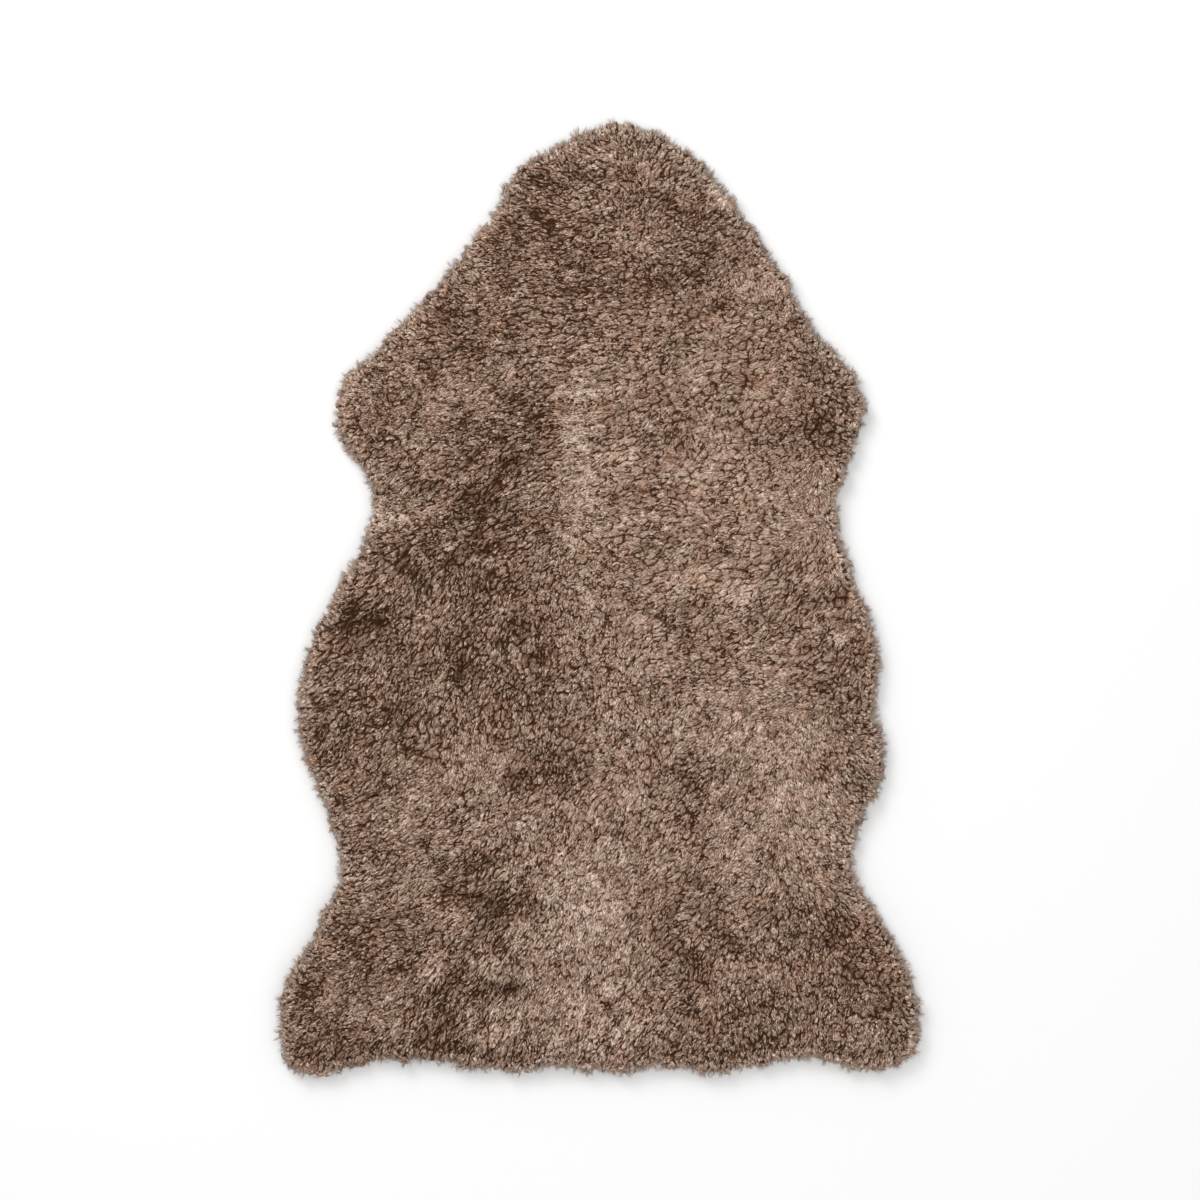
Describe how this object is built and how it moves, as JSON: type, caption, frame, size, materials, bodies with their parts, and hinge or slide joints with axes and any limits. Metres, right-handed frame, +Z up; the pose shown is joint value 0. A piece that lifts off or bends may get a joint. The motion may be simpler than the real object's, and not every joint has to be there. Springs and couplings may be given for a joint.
{
  "type": "sheepskin rug",
  "caption": "Shorn curly sheepskin with a leather underside, lying flat wool side up: a warm, soft rug for a floor, chair or bed.",
  "frame": {"origin": "on the floor, under the middle of the rug's box", "axes": "+Y along the skin from the tail edge to the neck, +X to the right seen from above with the neck up, +Z up out of the floor towards the wool"},
  "size_m": [0.607, 0.9, 0.0356],
  "materials": {
    "wool": "matt taupe brown curly wool",
    "hide": "matt tan suede, the flesh side of the skin"
  },
  "bodies": {
    "root": {"sheepskin": "wool"}
  },
  "joints": []
}
